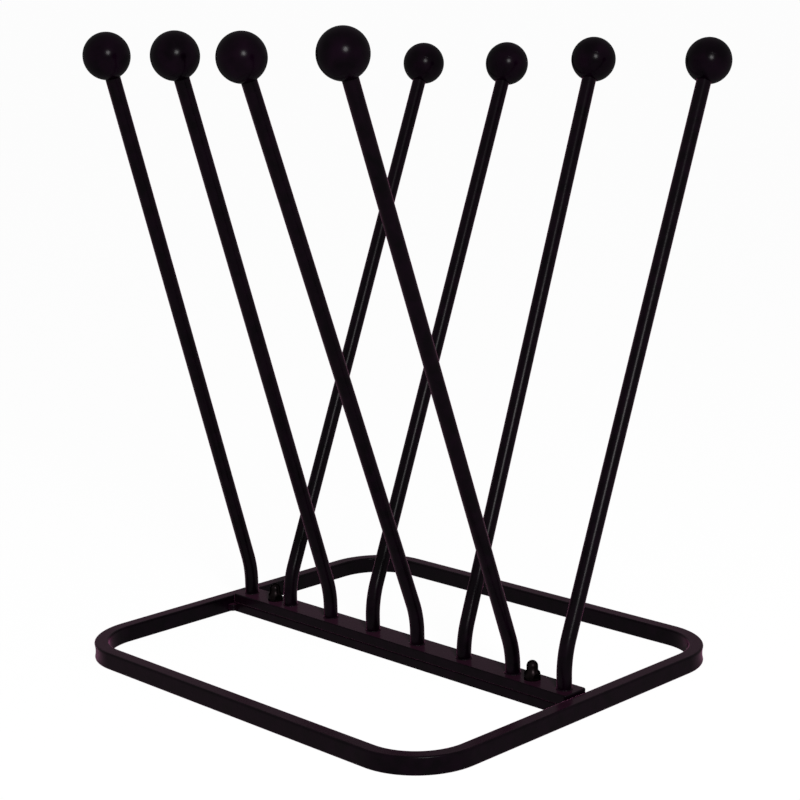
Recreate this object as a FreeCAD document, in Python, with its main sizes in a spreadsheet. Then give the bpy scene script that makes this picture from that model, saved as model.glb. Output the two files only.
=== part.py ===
import FreeCAD, Part
import math
import os
import Sketcher

# Boot rack: a bent bar loop that lies on the floor, a flat cross bar welded between its short rails, a
# drilled rod bar clamped on top of it, and a row of round rods that lean alternately to the front and to the
# back. Each rod ends in a ball knob and takes one boot, upside down.
#
# Frame: the origin is on the floor, under the middle of the cross bar. +X runs along the bars, -Y is the side
# that the odd rods lean to, +Z is up.

doc = FreeCAD.newDocument("boot_rack")

# ---------------------------------------------------------------------------------------------------------
# Driving dimensions, in millimetres and degrees
# ---------------------------------------------------------------------------------------------------------

DIMENSIONS = [
    ("frame_length", 348, "outside length of the loop, along X"),
    ("frame_width", 306, "outside width of the loop, along Y"),
    ("frame_bar_width", 10, "frame bar seen from above"),
    ("frame_bar_height", 12, "frame bar seen from the side"),
    ("frame_bar_edge_radius", 1.2, "radius of the rolled edges of the frame bar"),
    ("corner_radius", 41.5, "bend radius of the loop, at the middle of the bar"),
    ("bend_hollow_depth", 0.6, "how far the outside of a bend is drawn in"),
    ("bend_hollow_angle", 80, "angle of the bend over which it is drawn in"),
    ("flat_width", 21, "width of both flat bars"),
    ("cross_bar_thickness", 7, "lower flat bar"),
    ("rod_bar_thickness", 7, "upper flat bar"),
    ("flat_edge_radius", 0.8, "radius of the long edges of both flat bars"),
    ("rod_bar_end_gap", 0.5, "gap between each end of the rod bar and the rail"),
    ("rod_bar_corner_radius", 2, "radius of the rod bar's corners, seen from above"),
    ("frame_weld_leg", 4.5, "leg of the fillets between cross bar and rails"),
    ("weld_crown", 1.25, "radius of a weld's rounded face, in legs of the weld"),
    ("rod_diameter", 10, "round bar of the rods"),
    ("rod_end_distance", 9.8, "from each end of the rod bar to the nearest rod"),
    ("rod_length", 426, "from the rod bar's top by way of the bend's corner point to the knob's middle"),
    ("rod_bend_radius", 60, "bend radius of the rods, at the middle of the bar"),
    ("rod_end_chamfer", 0.8, "chamfer on the rod's end inside the knob"),
    ("rod_weld_leg", 0.7, "leg of the fillet round each rod's foot"),
    ("knob_diameter", 31, "ball knob"),
    ("knob_hole_depth", 17, "depth of the blind hole, from the surface of the ball"),
    ("knob_hole_chamfer", 0.6, "chamfer at the mouth of the blind hole"),
    ("fit_clearance", 0.05, "gap all round a rod in a hole and a screw in its nut"),
    ("screw_end_distance", 36.7, "from each end of the rod bar to the nearest clamp screw"),
    ("screw_diameter", 6, "clamp screw"),
    ("screw_hole_clearance", 0.3, "gap all round the screw in both bars and the washer"),
    ("screw_head_diameter", 12, "countersunk head"),
    ("screw_head_recess", 0.3, "how far the head lies inside the cross bar"),
    ("screw_socket_width", 4, "hexagon socket in the head, across flats"),
    ("screw_socket_depth", 2, "depth of the hexagon socket"),
    ("screw_tip_chamfer", 0.8, "chamfer at the screw's end"),
    ("thread_engagement_length", 4.4, "length of screw inside the nut"),
    ("washer_diameter", 11, "washer under the nut"),
    ("washer_thickness", 1.2, "washer under the nut"),
    ("washer_edge_chamfer", 0.3, "chamfer on the washer's upper edge"),
    ("nut_across_flats", 10, "dome nut across flats"),
    ("nut_turn_angle", -11, "how far a tight nut is turned from having two flats square to the bar"),
    ("nut_hex_height", 5, "height of the hexagon"),
    ("nut_height", 11.5, "whole height of the dome nut"),
    ("nut_shoulder_angle", 50, "slope of the cone that joins the dome to the hexagon's sides"),
    ("nut_dome_diameter", 7.6, "dome on top of the hexagon"),
    ("nut_bore_depth", 7.5, "depth of the nut's thread"),
]

# Each rod is bent and set by hand. The height is that of the bend's corner point above the rod bar, the lean
# is the angle of the bend, and the turn is about the rod's foot, towards +X.
RODS = [
    {"bend_height": 20, "lean_angle": 19.9, "turn_angle": 14.5},
    {"bend_height": 17.5, "lean_angle": 24.4, "turn_angle": -5.75},
    {"bend_height": 19, "lean_angle": 20, "turn_angle": 9.5},
    {"bend_height": 22, "lean_angle": 24.7, "turn_angle": -6.5},
    {"bend_height": 19.5, "lean_angle": 20.5, "turn_angle": 2},
    {"bend_height": 13.5, "lean_angle": 23.5, "turn_angle": -7.5},
    {"bend_height": 15, "lean_angle": 19.75, "turn_angle": 0.5},
    {"bend_height": 21, "lean_angle": 24.2, "turn_angle": -4.5},
]
DIMENSIONS.append(("rod_count", len(RODS), "rods in the row"))
for index, rod_sizes in enumerate(RODS, start=1):
    for alias, value in rod_sizes.items():
        DIMENSIONS.append(("%s_%d" % (alias, index), value, "of rod %d" % index))

sizes = doc.addObject("Spreadsheet::Sheet", "sizes")
for row, (alias, value, note) in enumerate(DIMENSIONS, start=1):
    sizes.set("A%d" % row, alias)
    sizes.set("B%d" % row, str(value))
    sizes.set("C%d" % row, note)
    sizes.setAlias("B%d" % row, alias)

# Sizes that follow from the driving ones, each written once.
DERIVED = [
    ("rail_inside_x", "=frame_length / 2 - frame_bar_width"),
    ("corner_centre_x", "=(frame_length - frame_bar_width) / 2 - corner_radius"),
    ("corner_centre_y", "=(frame_width - frame_bar_width) / 2 - corner_radius"),
    ("bend_outside", "=corner_radius + frame_bar_width / 2"),
    ("hollow_shift",
     "=bend_hollow_depth * (2 * bend_outside - bend_hollow_depth)"
     " / (2 * bend_outside * (1 - cos(bend_hollow_angle / 2 * 1 deg)) - 2 * bend_hollow_depth)"),
    ("hollow_radius", "=hollow_shift + bend_outside - bend_hollow_depth"),
    ("hollow_half_height", "=frame_bar_height / 2 - frame_bar_edge_radius"),
    ("bars_top", "=cross_bar_thickness + rod_bar_thickness"),
    ("rod_bar_length", "=2 * (rail_inside_x - rod_bar_end_gap)"),
    ("first_rod_x", "=rod_end_distance - rod_bar_length / 2"),
    ("rod_pitch", "=-2 * first_rod_x / (rod_count - 1)"),
    ("first_screw_x", "=screw_end_distance - rod_bar_length / 2"),
    ("screw_spacing", "=-2 * first_screw_x"),
    ("rod_radius", "=rod_diameter / 2"),
    ("rod_hole_radius", "=rod_radius + fit_clearance"),
    ("knob_radius", "=knob_diameter / 2"),
    ("knob_seat", "=knob_hole_depth - knob_radius"),
    ("knob_mouth_radius", "=rod_hole_radius + knob_hole_chamfer"),
    ("knob_mouth_z", "=-sqrt(knob_radius ^ 2 - knob_mouth_radius ^ 2)"),
    ("screw_radius", "=screw_diameter / 2"),
    ("screw_hole_radius", "=screw_radius + screw_hole_clearance"),
    ("washer_top", "=bars_top + washer_thickness"),
    ("screw_tip", "=washer_top + thread_engagement_length"),
    ("nut_corner_radius", "=nut_across_flats / 2 / cos(30 deg)"),
    ("nut_dome_radius", "=nut_dome_diameter / 2"),
]
for index in range(1, len(RODS) + 1):
    DERIVED += [
        ("bend_corner_z_%d" % index, "=bars_top + bend_height_%d" % index),
        ("rod_reach_%d" % index, "=rod_length - bend_height_%d" % index),
    ]
for row, (alias, formula) in enumerate(DERIVED, start=len(DIMENSIONS) + 1):
    sizes.set("A%d" % row, alias)
    sizes.set("B%d" % row, formula)
    sizes.setAlias("B%d" % row, alias)
doc.recompute()

# A cutter's edges stand this far outside the piece that it cuts.
CUTTER_MARGIN = 2

# An edge that rises by less than this from end to end lies level.
LEVEL_TOLERANCE = 0.001


# ---------------------------------------------------------------------------------------------------------
# Helpers for bodies, sketches and features
# ---------------------------------------------------------------------------------------------------------

def number(expression):
    """What an expression comes to with the sheet as it stands."""
    return float(sizes.evalExpression(expression))


def new_body(label):
    body = doc.addObject("PartDesign::Body", label)
    body.Label = label
    return body


def origin_part(body, role):
    """A plane or an axis of the body's own origin, such as XY_Plane or X_Axis."""
    return next(item for item in body.Origin.OriginFeatures if item.Role == role)


def new_sketch(body, name, plane, **offset):
    """A sketch on one of the body's origin planes, shifted by the expressions given for x, y or z."""
    sketch = body.newObject("Sketcher::SketchObject", name)
    sketch.AttachmentSupport = [(origin_part(body, plane), "")]
    sketch.MapMode = "FlatFace"
    for axis, expression in offset.items():
        sketch.setExpression("AttachmentOffset.Base." + axis, expression)
    return sketch


def fix(sketch, expression, kind, *where):
    """A dimension of the sketch, tied to the sheet."""
    index = sketch.addConstraint(Sketcher.Constraint(kind, *where, number(expression)))
    sketch.setExpression("Constraints[%d]" % index, expression)


def rounded_rectangle(sketch, width, height, radius):
    """A rectangle with round corners about the sketch's origin."""
    half_x, half_y, round_off = number(width) / 2, number(height) / 2, number(radius)
    inner_x, inner_y = half_x - round_off, half_y - round_off
    sides = [
        ((-inner_x, -half_y), (inner_x, -half_y)),
        ((half_x, -inner_y), (half_x, inner_y)),
        ((inner_x, half_y), (-inner_x, half_y)),
        ((-half_x, inner_y), (-half_x, -inner_y)),
    ]
    centres = [(inner_x, -inner_y), (inner_x, inner_y), (-inner_x, inner_y), (-inner_x, -inner_y)]
    for quarter, (side, centre) in enumerate(zip(sides, centres)):
        begin, end = (FreeCAD.Vector(*point, 0) for point in side)
        sketch.addGeometry(Part.LineSegment(begin, end))
        circle = Part.Circle(FreeCAD.Vector(*centre, 0), FreeCAD.Vector(0, 0, 1), round_off)
        first_angle = math.radians(90 * (quarter - 1))
        sketch.addGeometry(Part.ArcOfCircle(circle, first_angle, first_angle + math.radians(90)))
    low, low_right, right, _, high, _, left, low_left = range(8)
    for edge in range(8):
        sketch.addConstraint(Sketcher.Constraint("Tangent", edge, 2, (edge + 1) % 8, 1))
    for edge in (low, high):
        sketch.addConstraint(Sketcher.Constraint("Horizontal", edge))
    for edge in (right, left):
        sketch.addConstraint(Sketcher.Constraint("Vertical", edge))
    for arc in (3, 5, low_left):
        sketch.addConstraint(Sketcher.Constraint("Equal", low_right, arc))
    sketch.addConstraint(Sketcher.Constraint("Symmetric", low, 1, high, 1, -1, 1))
    fix(sketch, width, "DistanceX", left, 1, right, 1)
    fix(sketch, height, "DistanceY", low, 1, high, 1)
    fix(sketch, radius, "Radius", low_right)


def circle(sketch, radius):
    """A circle about the sketch's origin."""
    index = sketch.addGeometry(Part.Circle(FreeCAD.Vector(), FreeCAD.Vector(0, 0, 1), number(radius)))
    sketch.addConstraint(Sketcher.Constraint("Coincident", index, 3, -1, 1))
    fix(sketch, radius, "Radius", index)


def hexagon(sketch, across_flats):
    """A hexagon about the sketch's origin, with two flats upright."""
    corner_radius = "%s / 2 / cos(30 deg)" % across_flats
    reach = number(corner_radius)
    corners = [FreeCAD.Vector(reach * math.sin(angle), reach * math.cos(angle), 0)
               for angle in (turn * math.pi / 3 for turn in range(6))]
    for side in range(6):
        sketch.addGeometry(Part.LineSegment(corners[side], corners[(side + 1) % 6]))
    around = sketch.addGeometry(Part.Circle(FreeCAD.Vector(), FreeCAD.Vector(0, 0, 1), reach), True)
    sketch.addConstraint(Sketcher.Constraint("Coincident", around, 3, -1, 1))
    for side in range(6):
        sketch.addConstraint(Sketcher.Constraint("Coincident", side, 2, (side + 1) % 6, 1))
        sketch.addConstraint(Sketcher.Constraint("PointOnObject", side, 1, around))
    for side in range(1, 6):
        sketch.addConstraint(Sketcher.Constraint("Equal", 0, side))
    sketch.addConstraint(Sketcher.Constraint("Vertical", 1))
    fix(sketch, corner_radius, "Radius", around)


def outline(sketch, points, arcs=None):
    """A closed outline through points given as pairs of expressions. arcs gives, for the number of an edge,
    the radius of the arc that it is. An arc's middle lies on its left, seen along the outline, where the
    radius is positive, and on its right where it is negative."""
    arcs = arcs or {}
    corners = [FreeCAD.Vector(number(x), number(y), 0) for x, y in points]
    edges = []
    for index, begin in enumerate(corners):
        end = corners[(index + 1) % len(corners)]
        if index not in arcs:
            edges.append(sketch.addGeometry(Part.LineSegment(begin, end)))
            continue
        radius = number(arcs[index])
        chord = end - begin
        to_left = FreeCAD.Vector(-chord.y, chord.x, 0).normalize()
        rise = abs(radius) - math.sqrt(radius ** 2 - chord.Length ** 2 / 4)
        top = (begin + end) / 2 - to_left * math.copysign(rise, radius)
        edges.append(sketch.addGeometry(Part.Arc(begin, top, end)))
        radius_constraint = sketch.addConstraint(Sketcher.Constraint("Radius", edges[-1], abs(radius)))
        sketch.setExpression("Constraints[%d]" % radius_constraint, "abs(%s)" % arcs[index])

    def end_at(edge, corner):
        return min((1, 2), key=lambda end: (sketch.getPoint(edge, end) - corner).Length)

    for index, (x, y) in enumerate(points):
        corner, edge, before = corners[index], edges[index], edges[index - 1]
        begin = end_at(edge, corner)
        sketch.addConstraint(Sketcher.Constraint("Coincident", before, end_at(before, corner), edge, begin))
        for expression, kind, axis in ((x, "DistanceX", -2), (y, "DistanceY", -1)):
            if expression == "0":
                sketch.addConstraint(Sketcher.Constraint("PointOnObject", edge, begin, axis))
            else:
                fix(sketch, expression, kind, -1, 1, edge, begin)


def pad(body, sketch, length, middle=False):
    feature = body.newObject("PartDesign::Pad", sketch.Name + "_pad")
    feature.Profile = sketch
    feature.Midplane = middle
    feature.setExpression("Length", length)
    return feature


def pocket_upwards(body, sketch, depth=None):
    """A pocket from the sketch's plane upwards, right through where no depth is given."""
    feature = body.newObject("PartDesign::Pocket", sketch.Name + "_pocket")
    feature.Profile = sketch
    feature.Reversed = True
    if depth:
        feature.setExpression("Length", depth)
    else:
        feature.Type = "ThroughAll"
    return feature


def turn_profile(body, sketch, kind="Revolution", angle=360):
    """The profile turned about the sketch's upright axis, added or, as a Groove, cut away."""
    feature = body.newObject("PartDesign::" + kind, sketch.Name + "_turned")
    feature.Profile = sketch
    feature.ReferenceAxis = (sketch, ["V_Axis"])
    feature.Angle = angle
    return feature


def sweep(body, section, path):
    """The section carried along the path."""
    feature = body.newObject("PartDesign::AdditivePipe", path.Name + "_sweep")
    feature.Profile = section
    feature.Spine = (path, [])
    return feature


def repeat(body, step, count, cut=None):
    """Copies of one cut, or of the whole body where none is given, in a row along +X."""
    pattern = body.newObject("PartDesign::LinearPattern", (cut or body).Name + "_row")
    if cut:
        pattern.Originals = [cut]
    else:
        body.AllowCompound = True
        pattern.TransformMode = "Whole shape"
    pattern.Direction = (origin_part(body, "X_Axis"), [""])
    pattern.setExpression("Length", "%s * (%s - 1)" % (step, count))
    pattern.setExpression("Occurrences", count)
    body.Tip = pattern
    doc.recompute()


def mirror_to_all_quarters(body):
    """The body so far, drawn in one quarter, mirrored across the rack's two upright middle planes."""
    body.AllowCompound = True
    for plane in ("YZ_Plane", "XZ_Plane"):
        mirror = body.newObject("PartDesign::Mirrored", "%s_across_%s" % (body.Name, plane[:2]))
        mirror.TransformMode = "Whole shape"
        mirror.MirrorPlane = (origin_part(body, plane), [""])
        body.Tip = mirror
        doc.recompute()


def finish_edges(body, kind, base, wanted, size_name, size):
    """A Fillet or a Chamfer on those edges of the base feature that the test wanted picks out."""
    doc.recompute()
    feature = body.newObject("PartDesign::" + kind, base.Name + "_" + kind.lower())
    edges = enumerate(base.Shape.Edges, start=1)
    feature.Base = (base, ["Edge%d" % place for place, edge in edges if wanted(edge)])
    feature.setExpression(size_name, size)
    return feature


# ---------------------------------------------------------------------------------------------------------
# base_frame: one bar bent into a loop, its closing joint ground flush. The outside of each bend is drawn in,
# deepest at the middle of the bend and of the bar's height. One quarter is drawn, then mirrored.
# ---------------------------------------------------------------------------------------------------------

base_frame = new_body("base_frame")
loop_path = new_sketch(base_frame, "loop_path", "XY_Plane", z="sizes.frame_bar_height / 2")
middle_x, middle_y = number("sizes.corner_centre_x"), number("sizes.corner_centre_y")
bend = number("sizes.corner_radius")
long_rail = loop_path.addGeometry(Part.LineSegment(
    FreeCAD.Vector(0, middle_y + bend, 0), FreeCAD.Vector(middle_x, middle_y + bend, 0)))
corner = loop_path.addGeometry(Part.ArcOfCircle(
    Part.Circle(FreeCAD.Vector(middle_x, middle_y, 0), FreeCAD.Vector(0, 0, 1), bend), 0, math.pi / 2))
short_rail = loop_path.addGeometry(Part.LineSegment(
    FreeCAD.Vector(middle_x + bend, middle_y, 0), FreeCAD.Vector(middle_x + bend, 0, 0)))
loop_path.addConstraint(Sketcher.Constraint("Tangent", long_rail, 2, corner, 2))
loop_path.addConstraint(Sketcher.Constraint("Tangent", corner, 1, short_rail, 1))
loop_path.addConstraint(Sketcher.Constraint("Horizontal", long_rail))
loop_path.addConstraint(Sketcher.Constraint("Vertical", short_rail))
loop_path.addConstraint(Sketcher.Constraint("PointOnObject", long_rail, 1, -2))
loop_path.addConstraint(Sketcher.Constraint("PointOnObject", short_rail, 2, -1))
fix(loop_path, "sizes.corner_centre_x", "DistanceX", -1, 1, corner, 3)
fix(loop_path, "sizes.corner_centre_y", "DistanceY", -1, 1, corner, 3)
fix(loop_path, "sizes.corner_radius", "Radius", corner)

loop_section = new_sketch(base_frame, "loop_section", "YZ_Plane",
                          x="sizes.corner_centre_y + sizes.corner_radius", y="sizes.frame_bar_height / 2")
rounded_rectangle(loop_section, "sizes.frame_bar_width", "sizes.frame_bar_height",
                  "sizes.frame_bar_edge_radius")
sweep(base_frame, loop_section, loop_path)

hollow = new_sketch(base_frame, "hollow", "XZ_Plane",
                    x="sizes.corner_centre_x - sizes.hollow_shift / sqrt(2)",
                    y="sizes.frame_bar_height / 2",
                    z="-(sizes.corner_centre_y - sizes.hollow_shift / sqrt(2))")
hollow_edge = "sizes.hollow_radius + sizes.bend_hollow_depth"
outline(hollow, [
    (hollow_edge, "-sizes.hollow_half_height"),
    (hollow_edge + " + %g" % CUTTER_MARGIN, "-sizes.hollow_half_height"),
    (hollow_edge + " + %g" % CUTTER_MARGIN, "sizes.hollow_half_height"),
    (hollow_edge, "sizes.hollow_half_height"),
], arcs={3: "(sizes.hollow_half_height ^ 2 + sizes.bend_hollow_depth ^ 2) / (2 * sizes.bend_hollow_depth)"})
turn_profile(base_frame, hollow, "Groove", 90)
mirror_to_all_quarters(base_frame)


# ---------------------------------------------------------------------------------------------------------
# cross_bar: flat bar between the rails, flush with the frame's underside, with a countersunk hole for each
# clamp screw.
# ---------------------------------------------------------------------------------------------------------

cross_bar = new_body("cross_bar")
cross_section = new_sketch(cross_bar, "cross_section", "YZ_Plane", y="sizes.cross_bar_thickness / 2")
rounded_rectangle(cross_section, "sizes.flat_width", "sizes.cross_bar_thickness", "sizes.flat_edge_radius")
pad(cross_bar, cross_section, "2 * sizes.rail_inside_x", middle=True)

sink = new_sketch(cross_bar, "sink", "XZ_Plane", x="sizes.first_screw_x")
sink_mouth = "sizes.screw_head_diameter / 2 + sizes.screw_head_recess"
sink_top = "sizes.cross_bar_thickness + %g" % CUTTER_MARGIN
outline(sink, [
    ("0", "-%g" % CUTTER_MARGIN),
    (sink_mouth, "-%g" % CUTTER_MARGIN),
    (sink_mouth, "0"),
    ("sizes.screw_hole_radius", sink_mouth + " - sizes.screw_hole_radius"),
    ("sizes.screw_hole_radius", sink_top),
    ("0", sink_top),
])
repeat(cross_bar, "sizes.screw_spacing", "2", cut=turn_profile(cross_bar, sink, "Groove"))


# ---------------------------------------------------------------------------------------------------------
# cross_bar_welds: an upright fillet in each of the four corners where the cross bar meets the rails.
# ---------------------------------------------------------------------------------------------------------

cross_bar_welds = new_body("cross_bar_welds")
frame_weld = new_sketch(cross_bar_welds, "frame_weld", "XY_Plane", x="sizes.rail_inside_x",
                        y="sizes.flat_width / 2", z="sizes.frame_bar_edge_radius")
outline(frame_weld, [
    ("0", "0"),
    ("0", "sizes.frame_weld_leg"),
    ("-sizes.frame_weld_leg", "0"),
], arcs={1: "sizes.weld_crown * sizes.frame_weld_leg"})
pad(cross_bar_welds, frame_weld,
    "sizes.cross_bar_thickness - sizes.flat_edge_radius - sizes.frame_bar_edge_radius")
mirror_to_all_quarters(cross_bar_welds)


# ---------------------------------------------------------------------------------------------------------
# rod_bar: flat bar of the same stock on top of the cross bar, with a hole for each rod and each screw.
# ---------------------------------------------------------------------------------------------------------

rod_bar = new_body("rod_bar")
bar_plan = new_sketch(rod_bar, "bar_plan", "XY_Plane", z="sizes.cross_bar_thickness")
rounded_rectangle(bar_plan, "sizes.rod_bar_length", "sizes.flat_width", "sizes.rod_bar_corner_radius")
bar_blank = pad(rod_bar, bar_plan, "sizes.rod_bar_thickness")
finish_edges(rod_bar, "Fillet", bar_blank, lambda edge: edge.BoundBox.ZLength < LEVEL_TOLERANCE, "Radius",
             "sizes.flat_edge_radius")
for hole_name, hole_x, hole_radius, step, count in (
        ("rod_hole", "sizes.first_rod_x", "sizes.rod_hole_radius", "sizes.rod_pitch", "sizes.rod_count"),
        ("screw_hole", "sizes.first_screw_x", "sizes.screw_hole_radius", "sizes.screw_spacing", "2")):
    hole = new_sketch(rod_bar, hole_name, "XY_Plane", x=hole_x, z="sizes.cross_bar_thickness")
    circle(hole, hole_radius)
    repeat(rod_bar, step, count, cut=pocket_upwards(rod_bar, hole))


# ---------------------------------------------------------------------------------------------------------
# rod_1 to rod_8 and knob_1 to knob_8. A rod is drawn at the origin, leaning towards its own +X, and its body
# is then turned and set in its hole. It stands on the cross bar and ends at the bottom of the knob's hole.
# ---------------------------------------------------------------------------------------------------------

def make_rod(index):
    """One bent rod in its hole. The bend's corner point is where the two straight lengths would meet."""
    rod = new_body("rod_%d" % index)
    corner, lean = "sizes.bend_corner_z_%d" % index, "sizes.lean_angle_%d" % index
    length = "(sizes.rod_reach_%d + sizes.knob_seat)" % index
    path = new_sketch(rod, "rod_%d_path" % index, "XZ_Plane")
    foot_z, corner_z = number("sizes.cross_bar_thickness"), number(corner)
    radius, angle = number("sizes.rod_bend_radius"), math.radians(number(lean))
    direction = FreeCAD.Vector(math.sin(angle), math.cos(angle), 0)
    to_tangent = radius * math.tan(angle / 2)
    corner_point = FreeCAD.Vector(0, corner_z, 0)
    bend_begin = FreeCAD.Vector(0, corner_z - to_tangent, 0)
    foot = path.addGeometry(Part.LineSegment(FreeCAD.Vector(0, foot_z, 0), bend_begin))
    bend = path.addGeometry(Part.ArcOfCircle(
        Part.Circle(FreeCAD.Vector(radius, bend_begin.y, 0), FreeCAD.Vector(0, 0, 1), radius),
        math.pi - angle, math.pi))
    run = path.addGeometry(Part.LineSegment(
        corner_point + direction * to_tangent, corner_point + direction * number(length)))
    point = path.addGeometry(Part.Point(corner_point), True)
    path.addConstraint(Sketcher.Constraint("Vertical", foot))
    path.addConstraint(Sketcher.Constraint("PointOnObject", foot, 1, -2))
    path.addConstraint(Sketcher.Constraint("Tangent", foot, 2, bend, 2))
    path.addConstraint(Sketcher.Constraint("Tangent", bend, 1, run, 1))
    path.addConstraint(Sketcher.Constraint("PointOnObject", point, 1, -2))
    path.addConstraint(Sketcher.Constraint("PointOnObject", point, 1, run))
    fix(path, "sizes.cross_bar_thickness", "DistanceY", -1, 1, foot, 1)
    fix(path, corner, "DistanceY", -1, 1, point, 1)
    fix(path, "sizes.rod_bend_radius", "Radius", bend)
    fix(path, "%s * sin(%s * 1 deg)" % (length, lean), "DistanceX", -1, 1, run, 2)
    fix(path, "%s + %s * cos(%s * 1 deg)" % (corner, length, lean), "DistanceY", -1, 1, run, 2)

    section = new_sketch(rod, "rod_%d_section" % index, "XY_Plane", z="sizes.cross_bar_thickness")
    circle(section, "sizes.rod_radius")
    bar = sweep(rod, section, path)
    doc.recompute()
    top_z = bar.Shape.BoundBox.ZMax
    end_size = number("sizes.rod_diameter")
    finish_edges(rod, "Chamfer", bar, lambda edge: edge.BoundBox.ZMin > top_z - end_size
                 and edge.BoundBox.ZLength < end_size, "Size", "sizes.rod_end_chamfer")
    return rod


def make_knob(index):
    """A ball knob with a blind hole from below, drawn about the origin and set on its rod's end."""
    knob = new_body("knob_%d" % index)
    ball = new_sketch(knob, "knob_%d_ball" % index, "XZ_Plane")
    outline(ball, [
        ("0", "sizes.knob_seat"),
        ("0", "sizes.knob_radius"),
        ("sizes.knob_mouth_radius", "sizes.knob_mouth_z"),
        ("sizes.rod_hole_radius", "sizes.knob_mouth_z + sizes.knob_hole_chamfer"),
        ("sizes.rod_hole_radius", "sizes.knob_seat"),
    ], arcs={1: "-sizes.knob_radius"})
    turn_profile(knob, ball)
    knob.setExpression("Placement", (
        "rod_{0}.Placement * placement(vector(sizes.rod_reach_{0} * sin(sizes.lean_angle_{0} * 1 deg); 0;"
        " sizes.bend_corner_z_{0} + sizes.rod_reach_{0} * cos(sizes.lean_angle_{0} * 1 deg));"
        " rotation(vector(0; 1; 0); sizes.lean_angle_{0} * 1 deg))").format(index))
    return knob


rods, knobs = [], []
for index in range(1, len(RODS) + 1):
    rod = make_rod(index)
    rod.setExpression("Placement.Base.x", "sizes.first_rod_x + %d * sizes.rod_pitch" % (index - 1))
    turn = "sizes.turn_angle_%d - 90" if index % 2 == 1 else "90 - sizes.turn_angle_%d"
    rod.setExpression("Placement.Rotation.Angle", "(%s) * 1 deg" % (turn % index))
    rods.append(rod)
    knobs.append(make_knob(index))


# ---------------------------------------------------------------------------------------------------------
# rod_welds: a small round fillet about each rod's foot, on top of the rod bar.
# ---------------------------------------------------------------------------------------------------------

rod_welds = new_body("rod_welds")
rod_weld = new_sketch(rod_welds, "rod_weld", "XZ_Plane", x="sizes.first_rod_x", y="sizes.bars_top")
outline(rod_weld, [
    ("sizes.rod_radius", "0"),
    ("sizes.rod_radius + sizes.rod_weld_leg", "0"),
    ("sizes.rod_radius", "sizes.rod_weld_leg"),
], arcs={1: "sizes.weld_crown * sizes.rod_weld_leg"})
turn_profile(rod_welds, rod_weld)
repeat(rod_welds, "sizes.rod_pitch", "sizes.rod_count")


# ---------------------------------------------------------------------------------------------------------
# clamp_screws, clamp_washers and dome_nuts: the two screws come up through both bars, with their heads sunk
# in the cross bar, and take a washer and a dome nut each on top of the rod bar.
# ---------------------------------------------------------------------------------------------------------

clamp_screws = new_body("clamp_screws")
screw = new_sketch(clamp_screws, "screw", "XZ_Plane", x="sizes.first_screw_x")
outline(screw, [
    ("0", "sizes.screw_head_recess"),
    ("sizes.screw_head_diameter / 2", "sizes.screw_head_recess"),
    ("sizes.screw_radius", "sizes.screw_head_recess + sizes.screw_head_diameter / 2 - sizes.screw_radius"),
    ("sizes.screw_radius", "sizes.screw_tip - sizes.screw_tip_chamfer"),
    ("sizes.screw_radius - sizes.screw_tip_chamfer", "sizes.screw_tip"),
    ("0", "sizes.screw_tip"),
])
turn_profile(clamp_screws, screw)
socket = new_sketch(clamp_screws, "socket", "XY_Plane", x="sizes.first_screw_x",
                    z="sizes.screw_head_recess")
hexagon(socket, "sizes.screw_socket_width")
pocket_upwards(clamp_screws, socket, "sizes.screw_socket_depth")
repeat(clamp_screws, "sizes.screw_spacing", "2")

clamp_washers = new_body("clamp_washers")
washer = new_sketch(clamp_washers, "washer", "XZ_Plane", x="sizes.first_screw_x", y="sizes.bars_top")
outline(washer, [
    ("sizes.screw_hole_radius", "0"),
    ("sizes.washer_diameter / 2", "0"),
    ("sizes.washer_diameter / 2", "sizes.washer_thickness - sizes.washer_edge_chamfer"),
    ("sizes.washer_diameter / 2 - sizes.washer_edge_chamfer", "sizes.washer_thickness"),
    ("sizes.screw_hole_radius", "sizes.washer_thickness"),
])
turn_profile(clamp_washers, washer)
repeat(clamp_washers, "sizes.screw_spacing", "2")

dome_nuts = new_body("dome_nuts")
nut_place = {"x": "sizes.first_screw_x", "y": "sizes.washer_top"}
nut_plan = new_sketch(dome_nuts, "nut_plan", "XY_Plane", x=nut_place["x"], z="sizes.washer_top")
nut_plan.setExpression("AttachmentOffset.Rotation.Angle", "sizes.nut_turn_angle * 1 deg")
hexagon(nut_plan, "sizes.nut_across_flats")
pad(dome_nuts, nut_plan, "sizes.nut_hex_height")
nut_shoulder = new_sketch(dome_nuts, "nut_shoulder", "XZ_Plane", **nut_place)
beyond_corner = "(sizes.nut_corner_radius + %g)" % CUTTER_MARGIN
outline(nut_shoulder, [
    ("sizes.nut_dome_radius", "sizes.nut_hex_height"),
    (beyond_corner, "sizes.nut_hex_height - (%s - sizes.nut_dome_radius)"
                    " * tan(sizes.nut_shoulder_angle * 1 deg)" % beyond_corner),
    (beyond_corner, "sizes.nut_hex_height"),
])
turn_profile(dome_nuts, nut_shoulder, "Groove")
dome = new_sketch(dome_nuts, "dome", "XZ_Plane", **nut_place)
outline(dome, [
    ("0", "sizes.nut_hex_height"),
    ("sizes.nut_dome_radius", "sizes.nut_hex_height"),
    ("sizes.nut_dome_radius", "sizes.nut_height - sizes.nut_dome_radius"),
    ("0", "sizes.nut_height"),
], arcs={2: "sizes.nut_dome_radius"})
turn_profile(dome_nuts, dome)
nut_bore = new_sketch(dome_nuts, "nut_bore", "XY_Plane", x=nut_place["x"], z="sizes.washer_top")
circle(nut_bore, "sizes.screw_radius + sizes.fit_clearance")
pocket_upwards(dome_nuts, nut_bore, "sizes.nut_bore_depth")
repeat(dome_nuts, "sizes.screw_spacing", "2")


# ---------------------------------------------------------------------------------------------------------
# Checks and output
# ---------------------------------------------------------------------------------------------------------

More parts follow.
